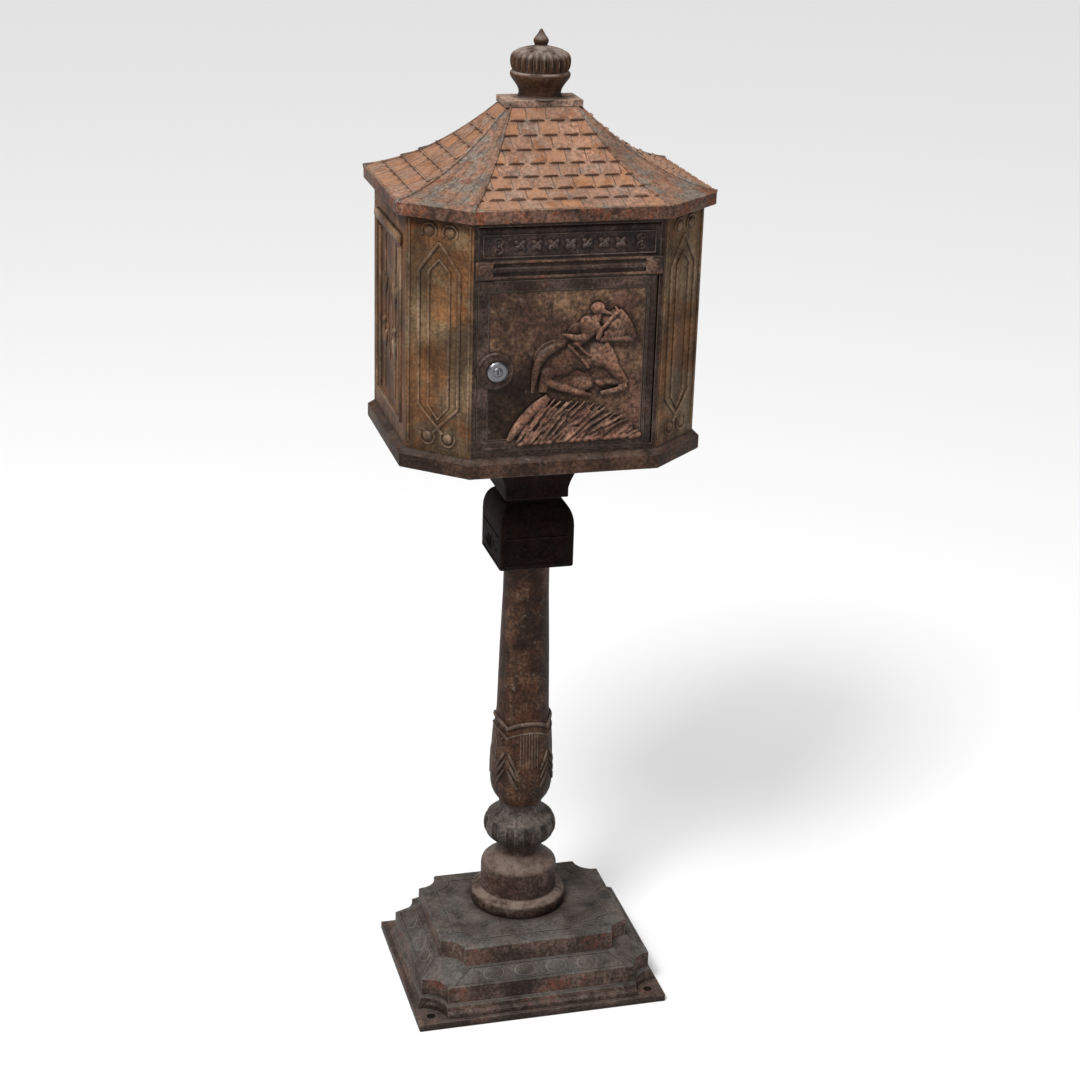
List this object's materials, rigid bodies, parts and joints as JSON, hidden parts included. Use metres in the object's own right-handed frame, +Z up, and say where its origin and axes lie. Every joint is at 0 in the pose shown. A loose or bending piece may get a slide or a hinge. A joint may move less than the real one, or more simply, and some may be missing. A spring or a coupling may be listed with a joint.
{
  "type": "pedestal mailbox",
  "caption": "Rusted cast-iron letter box on a turned post and stepped base, with a locking door, a letter flap and a flared shingled roof.",
  "frame": {"origin": "on the ground, under the middle of the roof and post", "axes": "+Z up along the post, -Y out of the door, +X to the right seen from the front"},
  "size_m": [0.356, 0.3064, 1.1627],
  "materials": {
    "base_iron": "grey-brown dusty cast iron with red rust patches",
    "post_iron": "dark brown rusted cast iron with ochre streaks and orange flaking on the foot",
    "capital_iron": "dark rusted cast iron, redder on the front",
    "floor_iron": "dark brown rusted cast iron, worn grey along the top edge",
    "frame_iron": "ochre-brown rusted and worn paint, dark round the door",
    "wall_iron": "ochre and olive worn paint with grey-green patches and rust",
    "roof_iron": "orange and brown rust, mauve-grey where worn",
    "finial_iron": "brown rust with greyish worn edges",
    "door_iron": "near-black worn paint, olive speckle, rust round the lock, relief brown-grey",
    "flap_iron": "near-black worn paint over brown rust",
    "old_steel": "dull oxidised steel",
    "lock_chrome": "bright chrome, a little scratched"
  },
  "bodies": {
    "root": {"back_wall": "wall_iron", "base": "base_iron", "box_floor": "floor_iron", "capital_block": "capital_iron", "finial": "finial_iron", "finial_nut": "old_steel", "flap_hinge_pin": "old_steel", "floor_screw_1": "old_steel", "floor_screw_2": "old_steel", "floor_screw_3": "old_steel", "floor_screw_4": "old_steel", "front_frame": "frame_iron", "left_wall": "wall_iron", "post": "post_iron", "right_wall": "wall_iron", "roof": "roof_iron", "roof_screw_1": "old_steel", "roof_screw_2": "old_steel", "roof_screw_3": "old_steel", "roof_screw_4": "old_steel", "tie_rod": "old_steel", "tie_rod_lower_nut": "old_steel", "tie_rod_lower_washer": "old_steel", "tie_rod_upper_nut": "old_steel", "tie_rod_upper_washer": "old_steel", "wall_screw_1": "old_steel", "wall_screw_2": "old_steel", "wall_screw_3": "old_steel", "wall_screw_4": "old_steel", "wall_screw_5": "old_steel", "wall_screw_6": "old_steel", "wall_screw_7": "old_steel", "wall_screw_8": "old_steel"},
    "door": {"door": "door_iron", "lock_barrel": "lock_chrome", "lock_nut": "old_steel", "door_hinge_pin_upper": "old_steel", "door_hinge_pin_lower": "old_steel"},
    "lock": {"lock_plug": "lock_chrome", "lock_cam": "old_steel", "lock_cam_screw": "old_steel"},
    "flap": {"letter_flap": "flap_iron"}
  },
  "joints": [
    {"name": "door_hinge", "type": "hinge", "parent": "root", "child": "door", "pos_m": [0.0955, -0.1385, 0.82665], "axis": [0, 0, 1], "range_deg": [0, 100]},
    {"name": "lock_turn", "type": "hinge", "parent": "door", "child": "lock", "pos_m": [-0.078, -0.128, 0.8235], "axis": [0, 1, 0], "range_deg": [0, 90]},
    {"name": "flap_hinge", "type": "hinge", "parent": "root", "child": "flap", "pos_m": [0, -0.1385, 0.9755], "axis": [-1, 0, 0], "range_deg": [0, 75]}
  ]
}
